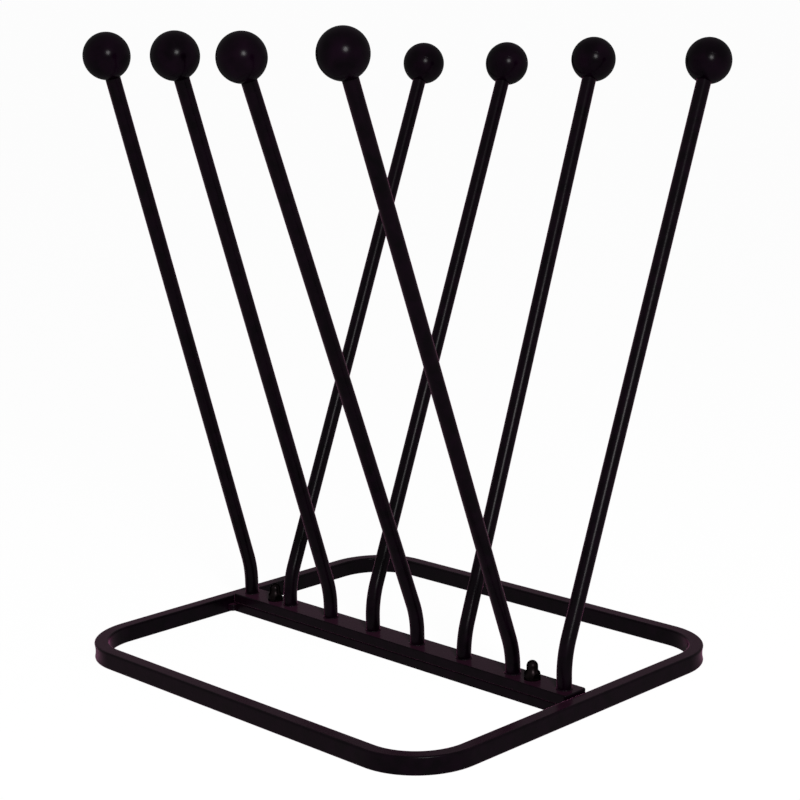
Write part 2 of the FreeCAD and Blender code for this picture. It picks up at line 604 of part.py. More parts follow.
doc.recompute()
for item in doc.Objects:
    if {"Invalid", "Error"} & set(item.State):
        raise RuntimeError("%s did not compute: %s" % (item.Name, item.State))
    if item.isDerivedFrom("Sketcher::SketchObject") and not item.FullyConstrained:
        raise RuntimeError("sketch %s is not fully constrained" % item.Name)

nodes = [base_frame, cross_bar, cross_bar_welds, rod_bar, *rods, rod_welds, *knobs,
         clamp_screws, clamp_washers, dome_nuts]
os.makedirs("parts", exist_ok=True)
for node in nodes:
    if node.Shape.isNull() or not node.Shape.isValid():
        raise RuntimeError("%s has no valid shape" % node.Label)
    node.Shape.exportStep("parts/%s.step" % node.Label)
    box = node.Shape.optimalBoundingBox(True, False)
    print("%-16s %d solids, %8.0f mm3, X %7.1f to %7.1f, Y %7.1f to %7.1f, Z %6.1f to %6.1f" % (
        node.Label, len(node.Shape.Solids), node.Shape.Volume,
        box.XMin, box.XMax, box.YMin, box.YMax, box.ZMin, box.ZMax))
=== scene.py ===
import math

import bmesh
import bpy
from mathutils import Matrix, Vector


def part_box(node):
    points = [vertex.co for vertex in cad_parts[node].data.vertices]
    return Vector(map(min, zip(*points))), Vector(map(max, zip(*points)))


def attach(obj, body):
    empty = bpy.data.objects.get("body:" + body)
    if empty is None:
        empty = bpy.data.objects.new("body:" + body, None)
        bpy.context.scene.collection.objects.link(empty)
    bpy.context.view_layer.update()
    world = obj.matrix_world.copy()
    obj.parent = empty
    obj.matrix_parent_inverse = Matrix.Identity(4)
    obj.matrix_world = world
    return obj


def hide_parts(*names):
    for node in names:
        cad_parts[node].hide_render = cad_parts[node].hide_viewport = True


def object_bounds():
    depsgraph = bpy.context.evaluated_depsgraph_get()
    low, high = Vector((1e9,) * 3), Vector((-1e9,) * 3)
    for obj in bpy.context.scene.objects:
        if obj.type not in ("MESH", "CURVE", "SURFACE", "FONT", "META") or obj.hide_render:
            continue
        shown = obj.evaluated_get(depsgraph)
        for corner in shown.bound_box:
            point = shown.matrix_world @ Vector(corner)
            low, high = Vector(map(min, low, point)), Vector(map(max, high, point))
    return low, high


# A boot rack of black coated steel, built up here in the order of the workshop: the bent loop that lies on
# the floor, the cross bar welded into it, the drilled bar with its rods and knobs, and the two clamp screws
# that hold the drilled bar down. Everything is in metres, on the frame that the rack's solids give.

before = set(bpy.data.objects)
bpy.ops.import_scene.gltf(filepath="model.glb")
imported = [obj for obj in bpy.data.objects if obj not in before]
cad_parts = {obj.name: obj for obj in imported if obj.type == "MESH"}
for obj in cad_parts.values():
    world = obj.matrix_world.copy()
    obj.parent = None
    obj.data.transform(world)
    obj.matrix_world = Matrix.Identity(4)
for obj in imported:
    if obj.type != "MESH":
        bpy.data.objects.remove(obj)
cad_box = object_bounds()
scene = bpy.context.scene


# ---------------------------------------------------------------------------------------------------------
# Base loop: one bar of mild steel, 10 by 12 mm, bent cold round a former at its four corners. Its ends are
# butt-welded and ground flush, and each cold bend has drawn the bar's outer face in a little.
# ---------------------------------------------------------------------------------------------------------

MM = 0.001


def feed(tree, node, inputs):
    """Gives each input a value or a link. A node stands for the first output that it has in use."""
    for name, value in inputs.items():
        if isinstance(name, int):
            socket = node.inputs[name]
        else:
            socket = next(item for item in node.inputs if item.enabled and item.name == name)
        if isinstance(value, bpy.types.Node):
            value = next(item for item in value.outputs if item.enabled)
        if isinstance(value, bpy.types.NodeSocket):
            tree.links.new(value, socket)
        else:
            socket.default_value = value


def add_node(tree, kind, inputs=None, **settings):
    """A new node with its settings and what feeds it."""
    node = tree.nodes.new(kind)
    for name, value in settings.items():
        setattr(node, name, value)
    feed(tree, node, inputs or {})
    return node


def linear(hex_colour):
    """An sRGB colour such as #101010 as the linear values that shaders take."""
    channels = [int(hex_colour[place:place + 2], 16) / 255 for place in (1, 3, 5)]
    return (*(c / 12.92 if c <= 0.04045 else ((c + 0.055) / 1.055) ** 2.4 for c in channels), 1.0)


def new_material(name):
    """A material with its tree and its Principled shader."""
    material = bpy.data.materials.new(name)
    material.use_nodes = True
    return material, material.node_tree, material.node_tree.nodes["Principled BSDF"]


def clouds(tree, size, detail):
    """Noise whose clouds are about this large, laid out on the piece itself."""
    place = add_node(tree, "ShaderNodeTexCoord").outputs["Object"]
    return add_node(tree, "ShaderNodeTexNoise", {"Vector": place, "Scale": 1 / size, "Detail": detail})


def patches(tree, size, low, high, detail=4.0):
    """A value that drifts from low to high between patches of about this size. Most of the noise lies between
    0.35 and 0.65."""
    return add_node(tree, "ShaderNodeMapRange", {
        "Value": clouds(tree, size, detail), "From Min": 0.35, "From Max": 0.65,
        "To Min": low, "To Max": high})


def dimples(tree, width, depth):
    """The normals of a skin with dimples about this wide and this deep."""
    return add_node(tree, "ShaderNodeBump", {"Height": clouds(tree, width, 2.0), "Distance": depth})


def satin_powder_coat_on_steel():
    """Polyester powder, sprayed on and baked, flows round every edge into a skin a tenth of a millimetre
    thick. It gives the eye a deep, slightly uneven black, soft highlights that its orange peel breaks up, and
    a trace of plum where light glances off it."""
    material, tree, shader = new_material("satin_powder_coat_on_steel")
    orange_peel = dimples(tree, 2.5 * MM, 0.05 * MM)
    feed(tree, shader, {
        "Base Color": add_node(tree, "ShaderNodeMix", {
            "Factor": patches(tree, 8 * MM, 0.0, 1.0),
            "A": linear("#080107"), "B": linear("#020002")}, data_type="RGBA"),
        "Roughness": patches(tree, 9 * MM, 0.35, 0.50),
        "Normal": orange_peel,
        "IOR": 1.5,
        # The skin's gloss is all in its thin clear top, so the pigment below has none of its own.
        "Specular IOR Level": 0.0,
        "Coat Weight": 0.078,
        "Coat Roughness": 0.27,
        "Coat Normal": orange_peel,
        "Sheen Weight": 0.27,
        "Sheen Roughness": 0.3,
        "Sheen Tint": linear("#ff98d3"),
    })
    return material


def new_tree(name, sizes):
    """A geometry tree with the piece's own mesh, a named input for each size, and its finish."""
    tree = bpy.data.node_groups.new(name, "GeometryNodeTree")
    tree.interface.new_socket("Mesh", in_out="OUTPUT", socket_type="NodeSocketGeometry")
    tree.interface.new_socket("Mesh", in_out="INPUT", socket_type="NodeSocketGeometry")
    for size in sizes:
        tree.interface.new_socket(size, in_out="INPUT", socket_type=sizes[size])
    tree.interface.new_socket("Finish", in_out="INPUT", socket_type="NodeSocketMaterial")
    return tree, add_node(tree, "NodeGroupInput").outputs


def end_tree(tree, given, mesh):
    """The end of every tree: copies become real mesh, and all of it takes the finish."""
    real = add_node(tree, "GeometryNodeRealizeInstances", {"Geometry": mesh})
    finished = add_node(tree, "GeometryNodeSetMaterial", {"Geometry": real, "Material": given["Finish"]})
    add_node(tree, "NodeGroupOutput", {"Mesh": finished})


def apply_tree(piece, tree, **sizes):
    """Puts the tree on the piece. Its inputs are set by the identifiers of their sockets."""
    modifier = piece.modifiers.new(tree.name, "NODES")
    modifier.node_group = tree
    for socket in tree.interface.items_tree:
        name = socket.name.lower().replace(" ", "_")
        if socket.in_out == "INPUT" and name in sizes:
            modifier[socket.identifier] = sizes[name]


def bake(piece):
    """What the piece's modifiers make of it becomes its plain mesh."""
    made = bpy.data.meshes.new_from_object(piece.evaluated_get(bpy.context.evaluated_depsgraph_get()))
    if None in list(made.materials):
        made.materials.pop(index=list(made.materials).index(None))
    piece.modifiers.clear()
    piece.data = made


def new_piece(name, points, edges=(), faces=()):
    """An object at the origin with a mesh of its own."""
    mesh = bpy.data.meshes.new(name)
    mesh.from_pydata(points, edges, faces)
    piece = bpy.data.objects.new(name, mesh)
    scene.collection.objects.link(piece)
    return piece


def finish_piece(piece, slot, *nodes):
    """Soft shading with crisp edges, under the rack's root, in place of its solids. The slot is not used."""
    bake(piece)
    piece.data.shade_smooth()
    piece.data.set_sharp_from_angle(angle=CREASE_ANGLE)
    piece.modifiers.new("even shading", "WEIGHTED_NORMAL").keep_sharp = True
    bake(piece)
    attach(piece, "root")
    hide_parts(*nodes)


def bar_tree():
    """A bar along the piece's own line, bent where the line has a corner. The section is a rectangle whose
    edges are round; where the edge radius is half its width, it is a round bar."""
    tree, given = new_tree("bar along a line", {
        "Width": "NodeSocketFloat", "Height": "NodeSocketFloat", "Edge Radius": "NodeSocketFloat",
        "Bend Radius": "NodeSocketFloat", "Cuts": "NodeSocketInt"})
    line = add_node(tree, "GeometryNodeMeshToCurve", {"Mesh": given["Mesh"]})
    bends = add_node(tree, "GeometryNodeFilletCurve", {
        "Curve": line, "Count": BEND_STEPS, "Radius": given["Bend Radius"], "Limit Radius": True},
        mode="POLY")
    rectangle = add_node(tree, "GeometryNodeCurvePrimitiveQuadrilateral", {
        "Width": given["Width"], "Height": given["Height"]})
    stepped = add_node(tree, "GeometryNodeSubdivideCurve", {"Curve": rectangle, "Cuts": given["Cuts"]})
    point = add_node(tree, "GeometryNodeInputPosition")
    outside = add_node(tree, "ShaderNodeCombineXYZ", {"X": given["Width"], "Y": given["Height"]})
    half = add_node(tree, "ShaderNodeVectorMath", {0: outside, "Scale": 0.5}, operation="SCALE")
    round_off = add_node(tree, "ShaderNodeCombineXYZ", {"X": given["Edge Radius"], "Y": given["Edge Radius"]})
    core = add_node(tree, "ShaderNodeVectorMath", {0: half, 1: round_off}, operation="SUBTRACT")
    minus_core = add_node(tree, "ShaderNodeVectorMath", {0: core, "Scale": -1.0}, operation="SCALE")
    below = add_node(tree, "ShaderNodeVectorMath", {0: point, 1: core}, operation="MINIMUM")
    inner = add_node(tree, "ShaderNodeVectorMath", {0: below, 1: minus_core}, operation="MAXIMUM")
    away = add_node(tree, "ShaderNodeVectorMath", {0: point, 1: inner}, operation="SUBTRACT")
    outwards = add_node(tree, "ShaderNodeVectorMath", {0: away}, operation="NORMALIZE")
    skin = add_node(tree, "ShaderNodeVectorMath", {0: outwards, "Scale": given["Edge Radius"]},
                    operation="SCALE")
    rounded = add_node(tree, "ShaderNodeVectorMath", {0: inner, 1: skin}, operation="ADD")
    section = add_node(tree, "GeometryNodeSetPosition", {"Geometry": stepped, "Position": rounded})
    bar = add_node(tree, "GeometryNodeCurveToMesh", {
        "Curve": bends, "Profile Curve": section, "Fill Caps": True})
    end_tree(tree, given, bar)
    return tree


def hollow_bends_tree():
    """Draws in the outer face of the loop's four bends, deepest halfway round each and halfway up the bar."""
    tree, given = new_tree("hollow bends", {
        "Bend Centre": "NodeSocketVector", "Bend Radius": "NodeSocketFloat",
        "Outer Radius": "NodeSocketFloat", "Half Height": "NodeSocketFloat",
        "Depth": "NodeSocketFloat", "Start": "NodeSocketFloat"})
    point = add_node(tree, "GeometryNodeInputPosition")
    quarter = add_node(tree, "ShaderNodeVectorMath", {0: point}, operation="ABSOLUTE")
    from_centre = add_node(tree, "ShaderNodeVectorMath", {0: quarter, 1: given["Bend Centre"]},
                           operation="SUBTRACT")
    height = add_node(tree, "ShaderNodeSeparateXYZ", {0: from_centre}).outputs["Z"]
    in_plan = add_node(tree, "ShaderNodeVectorMath", {0: from_centre, 1: (1, 1, 0)}, operation="MULTIPLY")
    beyond = add_node(tree, "ShaderNodeVectorMath", {0: in_plan, 1: (0, 0, 0)}, operation="MAXIMUM")
    radius = add_node(tree, "ShaderNodeVectorMath", {0: beyond}, operation="LENGTH")
    ray = add_node(tree, "ShaderNodeVectorMath", {0: beyond}, operation="NORMALIZE")
    parts = add_node(tree, "ShaderNodeSeparateXYZ", {0: ray})
    halfway_round = add_node(tree, "ShaderNodeMath", {0: parts.outputs["X"], 1: parts.outputs["Y"]},
                             operation="MULTIPLY")
    height_squared = add_node(tree, "ShaderNodeMath", {0: height, 1: height}, operation="MULTIPLY")
    limit_squared = add_node(tree, "ShaderNodeMath", {0: given["Half Height"], 1: given["Half Height"]},
                             operation="MULTIPLY")
    # Each share runs from 0 where the face keeps its place to 1 where it is drawn in most.
    round_share = add_node(tree, "ShaderNodeMapRange", {
        "Value": halfway_round, "From Min": given["Start"], "From Max": 0.5})
    outer_share = add_node(tree, "ShaderNodeMapRange", {
        "Value": radius, "From Min": given["Bend Radius"], "From Max": given["Outer Radius"]})
    height_share = add_node(tree, "ShaderNodeMapRange", {
        "Value": height_squared, "From Min": limit_squared, "From Max": 0.0})
    share = add_node(tree, "ShaderNodeMath", {0: round_share, 1: outer_share}, operation="MULTIPLY")
    share = add_node(tree, "ShaderNodeMath", {0: share, 1: height_share}, operation="MULTIPLY")
    inwards = add_node(tree, "ShaderNodeMath", {0: share, 1: given["Depth"]}, operation="MULTIPLY")
    side = add_node(tree, "ShaderNodeVectorMath", {0: point}, operation="SIGN")
    back = add_node(tree, "ShaderNodeVectorMath", {0: ray, 1: side}, operation="MULTIPLY")
    move = add_node(tree, "ShaderNodeVectorMath", {0: back, "Scale": inwards}, operation="SCALE")
    away = add_node(tree, "ShaderNodeVectorMath", {0: move, "Scale": -1.0}, operation="SCALE")
    drawn = add_node(tree, "GeometryNodeSetPosition", {"Geometry": given["Mesh"], "Offset": away})
    end_tree(tree, given, drawn)
    return tree


BEND_RADIUS = 41.5 * MM            # of the loop, at the middle of the bar
BEND_STEPS = 32
LOOP_EDGE_RADIUS = 1.2 * MM
FLAT_CUTS = 19                     # in each side of the section of a bar with flat sides
HOLLOW_DEPTH = 0.6 * MM
HOLLOW_ANGLE = math.radians(80)    # how much of a bend's quarter turn is drawn in
CREASE_ANGLE = math.radians(40)    # an edge that turns further than this stays crisp
CORNERS = ((1, 1), (-1, 1), (-1, -1), (1, -1))

powder_coat = satin_powder_coat_on_steel()
bar = bar_tree()
loop_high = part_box("base_frame")[1]
rail_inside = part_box("cross_bar")[1].x
bar_width = loop_high.x - rail_inside
bar_height = loop_high.z
line_x, line_y = loop_high.x - bar_width / 2, loop_high.y - bar_width / 2

loop = new_piece("bent_loop", [(x * line_x, y * line_y, bar_height / 2) for x, y in CORNERS],
                 edges=[(0, 1), (1, 2), (2, 3), (3, 0)])
apply_tree(loop, bar, width=bar_width, height=bar_height, edge_radius=LOOP_EDGE_RADIUS,
           bend_radius=BEND_RADIUS, cuts=FLAT_CUTS, finish=powder_coat)
apply_tree(loop, hollow_bends_tree(), bend_radius=BEND_RADIUS, outer_radius=BEND_RADIUS + bar_width / 2,
           bend_centre=(line_x - BEND_RADIUS, line_y - BEND_RADIUS, bar_height / 2),
           half_height=bar_height / 2 - LOOP_EDGE_RADIUS, depth=HOLLOW_DEPTH,
           start=math.cos(HOLLOW_ANGLE) / 2, finish=powder_coat)
finish_piece(loop, "powder_coat", "base_frame")


# ---------------------------------------------------------------------------------------------------------
# Cross bar: 21 by 7 mm flat, cut to fit between the short rails and flush with their underside. Each clamp
# screw comes up through a hole countersunk from below.
# ---------------------------------------------------------------------------------------------------------

def turned(name, profile, steps, places=((0, 0, 0),), ring=False):
    """A turned piece with this many steps round it, upright at each of its places. profile(angle) gives the
    outline as pairs of radius and height, from the axis to the axis, or all round the section of a ring."""
    form = bmesh.new()
    for place in places:
        columns = []
        for step in range(steps):
            angle = 2 * math.pi * step / steps
            columns.append([form.verts.new(Vector(place) + Vector((radius * math.cos(angle),
                                                                   radius * math.sin(angle), height)))
                            for radius, height in profile(angle)])
        for left, right in zip(columns, columns[1:] + columns[:1]):
            last = len(left) if ring else len(left) - 1
            for k in range(last):
                following = (k + 1) % len(left)
                form.faces.new((left[k], right[k], right[following], left[following]))
    bmesh.ops.remove_doubles(form, verts=form.verts, dist=MERGE_DISTANCE)
    bmesh.ops.recalc_face_normals(form, faces=form.faces)
    piece = new_piece(name, [])
    form.to_mesh(piece.data)
    form.free()
    return piece


def drill(piece, cutter):
    """Cuts the cutter's shape out of the piece and takes the cutter away."""
    modifier = piece.modifiers.new("drill", "BOOLEAN")
    modifier.operation = "DIFFERENCE"
    modifier.solver = "EXACT"
    modifier.object = cutter
    bake(piece)
    bpy.data.objects.remove(cutter)


FLAT_EDGE_RADIUS = 0.8 * MM
SCREW_RADIUS = 3 * MM
SCREW_CLEARANCE = 0.3 * MM
SCREW_HOLE_RADIUS = SCREW_RADIUS + SCREW_CLEARANCE
HEAD_RADIUS = 6 * MM
HEAD_RECESS = 0.3 * MM             # how far the head lies inside the bar
SINK_RADIUS = HEAD_RADIUS + HEAD_RECESS
HOLE_STEPS = 64
CUTTER_MARGIN = 2 * MM             # how far a cutter stands out of the faces it cuts
MERGE_DISTANCE = 0.0001 * MM       # joins the points of a turned piece that lie on its axis

cross_low, cross_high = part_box("cross_bar")
flat_width = cross_high.y - cross_low.y
screw_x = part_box("clamp_screws")[1].x - HEAD_RADIUS
screw_places = [(-screw_x, 0, 0), (screw_x, 0, 0)]


def sink_profile(angle):
    """From below the bar up the sink for the screw's head and up its hole."""
    top = cross_high.z + CUTTER_MARGIN
    return [(0, -CUTTER_MARGIN), (SINK_RADIUS, -CUTTER_MARGIN), (SINK_RADIUS, 0),
            (SCREW_HOLE_RADIUS, SINK_RADIUS - SCREW_HOLE_RADIUS), (SCREW_HOLE_RADIUS, top), (0, top)]


cross = new_piece("cross_bar_flat", [(cross_low.x, 0, cross_high.z / 2), (cross_high.x, 0, cross_high.z / 2)],
                  edges=[(0, 1)])
apply_tree(cross, bar, width=flat_width, height=cross_high.z, edge_radius=FLAT_EDGE_RADIUS, bend_radius=0.0,
           cuts=FLAT_CUTS, finish=powder_coat)
bake(cross)
drill(cross, turned("countersink", sink_profile, HOLE_STEPS, screw_places))
finish_piece(cross, "powder_coat", "cross_bar")


# ---------------------------------------------------------------------------------------------------------
# Rail welds: a short upright fillet of weld in each of the four corners between the cross bar and the rails,
# laid before coating, its ripples softened by the powder.
# ---------------------------------------------------------------------------------------------------------

def weld_bead(tree, given, path, start_angle, filled):
    """A quarter-round bead along the path, in the corner between two faces. Its ripples have the full leg,
    and the valleys between them have the share of it that Valley gives."""
    section = add_node(tree, "GeometryNodeCurveArc", {
        "Resolution": BEAD_SECTION_POINTS, "Radius": given["Leg"], "Start Angle": start_angle,
        "Sweep Angle": math.pi / 2, "Connect Center": True})
    along = add_node(tree, "GeometryNodeSplineParameter").outputs["Factor"]
    turns = add_node(tree, "ShaderNodeMath", {0: along, 1: given["Ripples"]}, operation="MULTIPLY")
    phase = add_node(tree, "ShaderNodeMath", {0: turns, 1: 2 * math.pi}, operation="MULTIPLY")
    wave = add_node(tree, "ShaderNodeMath", {0: phase}, operation="SINE")
    swell = add_node(tree, "ShaderNodeMapRange", {
        "Value": wave, "From Min": -1.0, "From Max": 1.0, "To Min": given["Valley"], "To Max": 1.0})
    return add_node(tree, "GeometryNodeCurveToMesh", {
        "Curve": path, "Profile Curve": section, "Scale": swell, "Fill Caps": filled})


def rail_weld_tree():
    """One upright bead, set at each point of the piece's own mesh and turned a quarter more each time."""
    tree, given = new_tree("rail welds", {
        "Leg": "NodeSocketFloat", "Ripples": "NodeSocketFloat", "Valley": "NodeSocketFloat",
        "Height": "NodeSocketFloat"})
    top = add_node(tree, "ShaderNodeCombineXYZ", {"Z": given["Height"]})
    upright = add_node(tree, "GeometryNodeCurvePrimitiveLine", {"End": top})
    path = add_node(tree, "GeometryNodeResampleCurve", {"Curve": upright, "Count": RAIL_BEAD_POINTS})
    bead = weld_bead(tree, given, path, math.pi / 2, True)
    index = add_node(tree, "GeometryNodeInputIndex")
    turn = add_node(tree, "ShaderNodeMath", {0: index, 1: -math.pi / 2}, operation="MULTIPLY")
    rotation = add_node(tree, "ShaderNodeCombineXYZ", {"Z": turn})
    copies = add_node(tree, "GeometryNodeInstanceOnPoints", {
        "Points": given["Mesh"], "Instance": bead, "Rotation": rotation})
    end_tree(tree, given, copies)
    return tree


RIPPLE_PITCH = 1.2 * MM
RAIL_BEAD_VALLEY = 0.9
RAIL_BEAD_POINTS = 32
BEAD_SECTION_POINTS = 9

weld_low, weld_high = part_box("cross_bar_welds")
rail_weld_leg = weld_high.y - cross_high.y
rail_weld_height = weld_high.z - weld_low.z
rail_welds = new_piece("rail_weld_beads",
                       [(x * rail_inside, y * cross_high.y, weld_low.z) for x, y in CORNERS])
apply_tree(rail_welds, rail_weld_tree(), leg=rail_weld_leg, height=rail_weld_height,
           ripples=rail_weld_height / RIPPLE_PITCH, valley=RAIL_BEAD_VALLEY, finish=powder_coat)
finish_piece(rail_welds, "powder_coat", "cross_bar_welds")


# ---------------------------------------------------------------------------------------------------------
# Rod bar: a second length of the same flat, its corners and edges dressed round, drilled for the eight rods
# and the two clamp screws. It lies on the cross bar and carries everything above.
# ---------------------------------------------------------------------------------------------------------

def rounded_plate(name, low, high, corner, edge):
    """A plate between two corners of its box, its upright corners and all its edges rounded."""
    form = bmesh.new()
    quarter = [math.pi / 2 * step / CORNER_STEPS for step in range(CORNER_STEPS + 1)]
    inset_and_rise = [(edge * (1 - math.sin(angle)), edge * (1 - math.cos(angle))) for angle in quarter]
    levels = [(inset, low.z + rise) for inset, rise in inset_and_rise]
    levels += [(inset, high.z - rise) for inset, rise in reversed(inset_and_rise)]
    centres = [(x * (high.x - corner), y * (high.y - corner)) for x, y in CORNERS]
    rings = []
    for inset, z in levels:
        rings.append([form.verts.new((x + (corner - inset) * math.cos(turn * math.pi / 2 + angle),
                                      y + (corner - inset) * math.sin(turn * math.pi / 2 + angle), z))
                      for turn, (x, y) in enumerate(centres) for angle in quarter])
    for lower, upper in zip(rings, rings[1:]):
        for k in range(len(lower)):
            following = (k + 1) % len(lower)
            form.faces.new((lower[k], lower[following], upper[following], upper[k]))
    form.faces.new(rings[0][::-1])
    form.faces.new(rings[-1])
    piece = new_piece(name, [])
    form.to_mesh(piece.data)
    form.free()
    return piece


ROD_COUNT = 8
ROD_RADIUS = 5 * MM
FIT_CLEARANCE = 0.05 * MM          # all round a rod in a hole and a screw in its nut
ROD_HOLE_RADIUS = ROD_RADIUS + FIT_CLEARANCE
BAR_CORNER_RADIUS = 2 * MM
CORNER_STEPS = 6

plate_low, plate_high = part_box("rod_bar")
foot_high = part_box("rod_welds")[1]
foot_weld_leg = foot_high.z - plate_high.z
last_rod_x = foot_high.x - foot_weld_leg - ROD_RADIUS
rod_x = [last_rod_x * (2 * place / (ROD_COUNT - 1) - 1) for place in range(ROD_COUNT)]


def through_holes(name, radius, places):
    """Cutters for holes right through the rod bar."""
    bottom, top = plate_low.z - CUTTER_MARGIN, plate_high.z + CUTTER_MARGIN
    return turned(name, lambda angle: [(0, bottom), (radius, bottom), (radius, top), (0, top)],
                  HOLE_STEPS, places)


plate = rounded_plate("drilled_rod_bar", plate_low, plate_high, BAR_CORNER_RADIUS, FLAT_EDGE_RADIUS)
plate.data.materials.append(powder_coat)
drill(plate, through_holes("rod_drill", ROD_HOLE_RADIUS, [(x, 0, 0) for x in rod_x]))
drill(plate, through_holes("screw_drill", SCREW_HOLE_RADIUS, screw_places))
finish_piece(plate, "powder_coat", "rod_bar")


# ---------------------------------------------------------------------------------------------------------
# Rods: 10 mm round bar, each bent once just above the bar, and stood in its hole so that they lean in turn to
# the front and to the back. Set by hand, so no two lean quite alike.
# ---------------------------------------------------------------------------------------------------------

ROD_BEND_RADIUS = 60 * MM
ROD_LENGTH = 426 * MM              # from the rod bar's top, by way of the bend, to the middle of the knob
KNOB_HOLE_DEPTH = 17 * MM
ROD_END_CHAMFER = 0.8 * MM
ROD_END_ANGLE = math.radians(60)   # only the rims of a rod's ends turn further than this
ROD_CUTS = 11                      # in each quarter of a rod's round section

knob_places = []
for index, x in enumerate(rod_x, start=1):
    low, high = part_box("knob_%d" % index)
    knob_radius = (high.x - low.x) / 2
    knob_centre = Vector(((low.x + high.x) / 2, (low.y + high.y) / 2, high.z - knob_radius))
    # The two straight lengths meet at the height where they add up to the rod's length.
    foot = Vector((x, 0, plate_high.z))
    rise, way = knob_centre.z - foot.z, (knob_centre - foot).length
    corner = foot + Vector((0, 0, (ROD_LENGTH ** 2 - way ** 2) / (2 * (ROD_LENGTH - rise))))
    lean = (knob_centre - corner).normalized()
    knob_places.append((knob_centre, lean))
    rod = new_piece("bent_rod_%d" % index, [
        (x, 0, plate_low.z), corner, knob_centre + lean * (KNOB_HOLE_DEPTH - knob_radius)],
        edges=[(0, 1), (1, 2)])
    apply_tree(rod, bar, width=2 * ROD_RADIUS, height=2 * ROD_RADIUS, edge_radius=ROD_RADIUS,
               bend_radius=ROD_BEND_RADIUS, cuts=ROD_CUTS, finish=powder_coat)
    bake(rod)
    chamfer = rod.modifiers.new("chamfer", "BEVEL")
    chamfer.width = ROD_END_CHAMFER
    chamfer.limit_method = "ANGLE"
    chamfer.angle_limit = ROD_END_ANGLE
    finish_piece(rod, "powder_coat", "rod_%d" % index)


# ---------------------------------------------------------------------------------------------------------
# Foot welds: a thin bead of weld round each rod where it leaves the bar, laid in one turn by hand, so that
# each ring starts, and has its ripples, at another place.
# ---------------------------------------------------------------------------------------------------------

def foot_weld_tree():
    """One ring bead, set round each rod's foot and turned at random."""
    tree, given = new_tree("foot welds", {
        "Leg": "NodeSocketFloat", "Ripples": "NodeSocketFloat", "Valley": "NodeSocketFloat",
        "Rod Radius": "NodeSocketFloat", "Seed": "NodeSocketInt"})
    path = add_node(tree, "GeometryNodeCurvePrimitiveCircle", {
        "Resolution": FOOT_BEAD_POINTS, "Radius": given["Rod Radius"]})
    bead = weld_bead(tree, given, path, -math.pi / 2, False)
    turn = add_node(tree, "FunctionNodeRandomValue", {"Max": (0, 0, 2 * math.pi), "Seed": given["Seed"]},
                    data_type="FLOAT_VECTOR")
    copies = add_node(tree, "GeometryNodeInstanceOnPoints", {
        "Points": given["Mesh"], "Instance": bead, "Rotation": turn})
    end_tree(tree, given, copies)
    return tree


FOOT_BEAD_VALLEY = 0.8
FOOT_BEAD_POINTS = 112
FOOT_BEAD_SEED = 7

foot_ripples = round(2 * math.pi * ROD_RADIUS / RIPPLE_PITCH)
foot_welds = new_piece("foot_weld_beads", [(x, 0, plate_high.z) for x in rod_x])
apply_tree(foot_welds, foot_weld_tree(), leg=foot_weld_leg, rod_radius=ROD_RADIUS, ripples=foot_ripples,
           valley=FOOT_BEAD_VALLEY, seed=FOOT_BEAD_SEED, finish=powder_coat)
finish_piece(foot_welds, "powder_coat", "rod_welds")


# ---------------------------------------------------------------------------------------------------------
# Ball knobs: pressed from black phenolic in a two-part mould and tumbled to a soft gloss. Each is pushed on
# its rod's end. The mould has left a fine line round the ball, square to the hole.
# ---------------------------------------------------------------------------------------------------------

def moulded_phenolic():
    """Black thermosetting plastic, moulded and tumbled. It gives the eye a brown-black with a small soft
    highlight, and a skin with a faint grain and a few rubbed places."""
    material, tree, shader = new_material("moulded_phenolic")
    # Tumbling leaves a grain of about a tenth of a millimetre, too fine to show, so it is drawn at 1.2 mm.
    grain = dimples(tree, 1.2 * MM, 0.008 * MM)
    feed(tree, shader, {
        "Base Color": add_node(tree, "ShaderNodeMix", {
            "Factor": patches(tree, 12 * MM, 0.0, 1.0),
            "A": linear("#0c020b"), "B": linear("#030003")}, data_type="RGBA"),
        "Roughness": patches(tree, 6 * MM, 0.24, 0.36, detail=5.0),
        "Normal": grain,
        "IOR": 1.5,
        # As with the powder coat, the gloss is all in the skin's top.
        "Specular IOR Level": 0.0,
        "Coat Weight": 0.066,
        "Coat Roughness": 0.21,
        "Coat Normal": grain,
    })
    return material


KNOB_MOUTH_CHAMFER = 0.6 * MM
KNOB_STEPS = 96
PARTING_LINE_DEPTH = 0.08 * MM
PARTING_LINE_ANGLE = 0.9           # half the line's width, in degrees, as are the next three values
LATITUDE_STEP = 4
UPPER_LATITUDES = [*range(90, 0, -LATITUDE_STEP), PARTING_LINE_ANGLE]
MOUTH_MARGIN = 1                   # how far the last latitude stays from the hole's mouth

mould_radius = knob_radius         # all knobs come from one mould, so the last one's radius serves


def knob_profile(angle):
    """From the top of the ball down its outside, into the hole's mouth and up to the bottom of the hole."""
    mouth_radius = ROD_HOLE_RADIUS + KNOB_MOUTH_CHAMFER
    mouth_height = -math.sqrt(mould_radius ** 2 - mouth_radius ** 2)
    mouth_latitude = math.degrees(math.asin(mouth_height / mould_radius))
    points = []
    for latitude in UPPER_LATITUDES + [0] + [-upper for upper in reversed(UPPER_LATITUDES)]:
        if latitude > mouth_latitude + MOUTH_MARGIN:
            radius = mould_radius - (PARTING_LINE_DEPTH if latitude == 0 else 0)
            turn = math.radians(latitude)
            points.append((radius * math.cos(turn), radius * math.sin(turn)))
    return points + [(mouth_radius, mouth_height), (ROD_HOLE_RADIUS, mouth_height + KNOB_MOUTH_CHAMFER),
                     (ROD_HOLE_RADIUS, KNOB_HOLE_DEPTH - mould_radius), (0, KNOB_HOLE_DEPTH - mould_radius)]


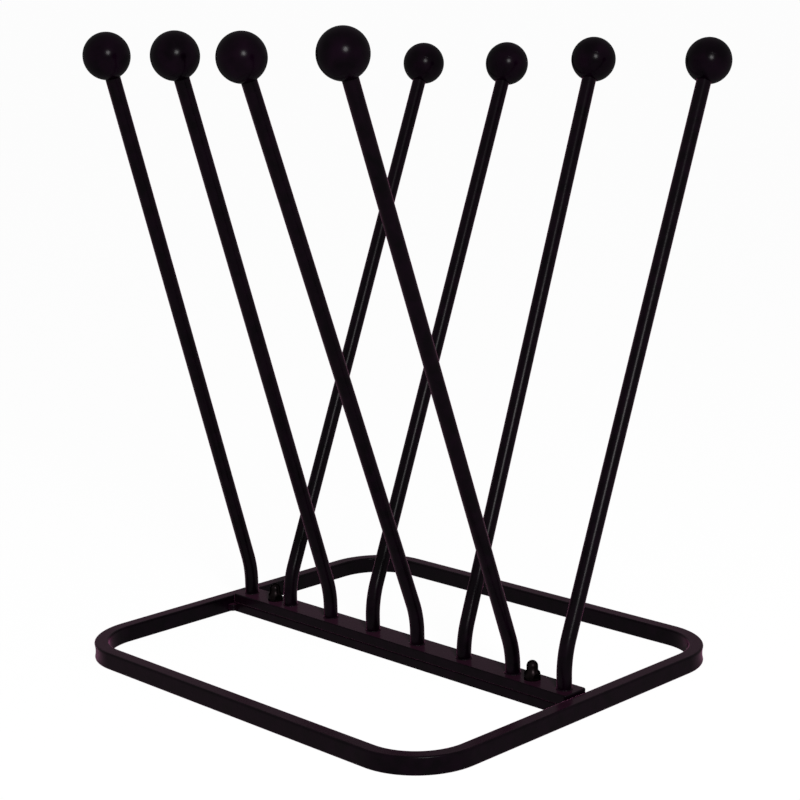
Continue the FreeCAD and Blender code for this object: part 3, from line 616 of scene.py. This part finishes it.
phenolic = moulded_phenolic()
for index, (centre, lean) in enumerate(knob_places, start=1):
    knob = turned("ball_knob_%d" % index, knob_profile, KNOB_STEPS)
    knob.data.transform(Matrix.Translation(centre) @ lean.to_track_quat("Z", "Y").to_matrix().to_4x4())
    knob.data.materials.append(phenolic)
    finish_piece(knob, "knob_plastic", "knob_%d" % index)


# ---------------------------------------------------------------------------------------------------------
# Clamp screws, washers and dome nuts: M6, blackened steel. The screws come up through both bars with their
# heads sunk underneath, and the dome nuts pull the rod bar down on to the cross bar.
# ---------------------------------------------------------------------------------------------------------

def blackened_steel():
    """Steel, pressed or turned, then blackened in a hot oxide bath and oiled. It gives the eye a near-black
    metal with a narrow sheen, duller where the oil has dried."""
    material, tree, shader = new_material("blackened_steel")
    feed(tree, shader, {
        "Base Color": add_node(tree, "ShaderNodeMix", {
            "Factor": clouds(tree, 3 * MM, 4.0), "A": linear("#141011"), "B": linear("#0c090a")},
            data_type="RGBA"),
        "Roughness": patches(tree, 3 * MM, 0.28, 0.42),
        # The oxide's own grain is far too fine to show, so it is drawn at 0.8 mm.
        "Normal": dimples(tree, 0.8 * MM, 0.01 * MM),
        "Metallic": 1.0,
        "Specular Tint": linear("#4a4046"),
    })
    return material


def copies_tree():
    """The model piece, set at each point of the piece's own mesh and turned about the upright."""
    tree, given = new_tree("copies", {"Model": "NodeSocketObject", "Turn": "NodeSocketFloat"})
    model = add_node(tree, "GeometryNodeObjectInfo", {"Object": given["Model"], "As Instance": True})
    turn = add_node(tree, "ShaderNodeCombineXYZ", {"Z": given["Turn"]})
    copies = add_node(tree, "GeometryNodeInstanceOnPoints", {
        "Points": given["Mesh"], "Instance": model.outputs["Geometry"], "Rotation": turn})
    end_tree(tree, given, copies)
    return tree


def hexagon_radius(across_flats, angle):
    """How far a hexagon's side is from its middle in this direction."""
    return across_flats / 2 / math.cos((angle + math.pi / 6) % (math.pi / 3) - math.pi / 6)


def screw_pair(name, node, profile, ring=False):
    """One turned piece at each clamp screw. The model that it is copied from goes again."""
    model = turned(name + "_model", profile, FASTENER_STEPS, ring=ring)
    pair = new_piece(name, screw_places)
    apply_tree(pair, copies, model=model, turn=TIGHT_TURN, finish=black_steel)
    bake(pair)
    bpy.data.objects.remove(model)
    finish_piece(pair, "black_steel", node)


TIGHT_TURN = math.radians(-11)     # how far from square to the bar a tight nut has come to stand
FASTENER_STEPS = 72                # a multiple of 12, so that a hexagon's corners fall on steps
SOCKET_ACROSS_FLATS = 4 * MM
SOCKET_DEPTH = 2 * MM
TIP_CHAMFER = 0.8 * MM
WASHER_CHAMFER = 0.3 * MM
NUT_ACROSS_FLATS = 10 * MM
NUT_HEXAGON_HEIGHT = 5 * MM
NUT_SHOULDER_SLOPE = math.tan(math.radians(50))
NUT_BORE_DEPTH = 7.5 * MM
DOME_RADIUS = 3.8 * MM
DOME_STEPS = 12

black_steel = blackened_steel()
copies = copies_tree()
screw_low, screw_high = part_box("clamp_screws")
washer_low, washer_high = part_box("clamp_washers")
nut_low, nut_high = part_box("dome_nuts")
washer_radius = washer_high.y


def screw_profile(angle):
    """From the bottom of the socket over the sunk head and up the shank to the tip."""
    socket = hexagon_radius(SOCKET_ACROSS_FLATS, angle)
    return [(0, screw_low.z + SOCKET_DEPTH), (socket, screw_low.z + SOCKET_DEPTH), (socket, screw_low.z),
            (HEAD_RADIUS, screw_low.z), (SCREW_RADIUS, screw_low.z + HEAD_RADIUS - SCREW_RADIUS),
            (SCREW_RADIUS, screw_high.z - TIP_CHAMFER), (SCREW_RADIUS - TIP_CHAMFER, screw_high.z),
            (0, screw_high.z)]


def washer_profile(angle):
    """Round the section of the washer."""
    return [(SCREW_HOLE_RADIUS, washer_low.z), (washer_radius, washer_low.z),
            (washer_radius, washer_high.z - WASHER_CHAMFER), (washer_radius - WASHER_CHAMFER, washer_high.z),
            (SCREW_HOLE_RADIUS, washer_high.z)]


def nut_profile(angle):
    """From the top of the dome down the shoulder and the hexagon's side, then up the bore."""
    side = hexagon_radius(NUT_ACROSS_FLATS, angle)
    hexagon_top = nut_low.z + NUT_HEXAGON_HEIGHT
    dome_middle = nut_high.z - DOME_RADIUS
    turns = [math.pi / 2 * step / DOME_STEPS for step in range(DOME_STEPS + 1)]
    dome = [(DOME_RADIUS * math.sin(turn), dome_middle + DOME_RADIUS * math.cos(turn)) for turn in turns]
    bore = SCREW_RADIUS + FIT_CLEARANCE
    return dome + [
        (DOME_RADIUS, hexagon_top),
        (side, hexagon_top - (side - DOME_RADIUS) * NUT_SHOULDER_SLOPE), (side, nut_low.z),
        (bore, nut_low.z), (bore, nut_low.z + NUT_BORE_DEPTH), (0, nut_low.z + NUT_BORE_DEPTH)]


screw_pair("countersunk_screws", "clamp_screws", screw_profile)
screw_pair("plain_washers", "clamp_washers", washer_profile, ring=True)
screw_pair("capped_nuts", "dome_nuts", nut_profile)


# ---------------------------------------------------------------------------------------------------------
# Studio: a white floor that runs on into a white surround, which the rack's gloss shows too, a soft lamp on
# the camera's side, and the camera.
# ---------------------------------------------------------------------------------------------------------

def seen_directly(tree):
    """1 for what the camera, a reflection or glass shows, and 0 for the light that falls on the rack."""
    path = add_node(tree, "ShaderNodeLightPath")
    seen = add_node(tree, "ShaderNodeMath", {
        0: path.outputs["Is Camera Ray"], 1: path.outputs["Is Glossy Ray"]}, operation="MAXIMUM")
    return add_node(tree, "ShaderNodeMath", {
        0: seen, 1: path.outputs["Is Transmission Ray"]}, operation="MAXIMUM")


FLOOR_SIZE = 20.0
FLOOR_GLOW = 1.05
FLOOR_WHITENESS = 0.92             # how much of the floor's own shading the white covers
SURROUND_GLOW = 0.976              # as white as the far floor, so that no horizon shows
ROOM_LIGHT = 0.15
LAMP_PLACE = (1.5, -1.0, 0.95)
LAMP_SIZE = 0.5
LAMP_POWER = 35.0
CAMERA_PLACE = (0.86743, -0.84642, 0.42557)
CAMERA_TURN, CAMERA_DIP, CAMERA_ROLL = (math.radians(angle) for angle in (45.3755, 11.3575, -1.189))
LENS, SENSOR = 81.872, 36.0        # in millimetres

half = FLOOR_SIZE / 2
floor = new_piece("floor", [(-half, -half, 0), (half, -half, 0), (half, half, 0), (-half, half, 0)],
                  faces=[(0, 1, 2, 3)])
# Matt white paper, lit so evenly that it gives the eye plain white with only a trace of the rack's shadow.
white, tree, shader = new_material("white_paper_floor")
feed(tree, shader, {"Base Color": linear("#e8e8e8"), "Roughness": 0.9, "Specular IOR Level": 0.0})
lit = add_node(tree, "ShaderNodeEmission", {"Color": linear("#ffffff"), "Strength": FLOOR_GLOW})
share = add_node(tree, "ShaderNodeMath", {0: seen_directly(tree), 1: FLOOR_WHITENESS}, operation="MULTIPLY")
cover = add_node(tree, "ShaderNodeMixShader", {0: share, 1: shader, 2: lit})
feed(tree, tree.nodes["Material Output"], {"Surface": cover})
floor.data.materials.append(white)

world = bpy.data.worlds.new("studio")
world.use_nodes = True
scene.world = world
strength = add_node(world.node_tree, "ShaderNodeMapRange", {
    "Value": seen_directly(world.node_tree), "To Min": ROOM_LIGHT, "To Max": SURROUND_GLOW})
feed(world.node_tree, world.node_tree.nodes["Background"], {"Color": linear("#ffffff"), "Strength": strength})

lamp = bpy.data.lights.new("lamp", "AREA")
lamp.shape = "DISK"
lamp.size = LAMP_SIZE
lamp.energy = LAMP_POWER
lamp_object = bpy.data.objects.new("lamp", lamp)
scene.collection.objects.link(lamp_object)
lamp_object.location = LAMP_PLACE
rack_middle = (cad_box[0] + cad_box[1]) / 2
lamp_object.rotation_euler = (rack_middle - Vector(LAMP_PLACE)).to_track_quat("-Z", "Y").to_euler()

camera = bpy.data.cameras.new("camera")
camera.lens, camera.sensor_width = LENS, SENSOR
camera_object = bpy.data.objects.new("camera", camera)
scene.collection.objects.link(camera_object)
camera_object.matrix_world = (
    Matrix.Translation(CAMERA_PLACE) @ Matrix.Rotation(CAMERA_TURN, 4, "Z")
    @ Matrix.Rotation(math.pi / 2 - CAMERA_DIP, 4, "X") @ Matrix.Rotation(CAMERA_ROLL, 4, "Z"))
scene.camera = camera_object
scene.view_settings.view_transform = "Standard"
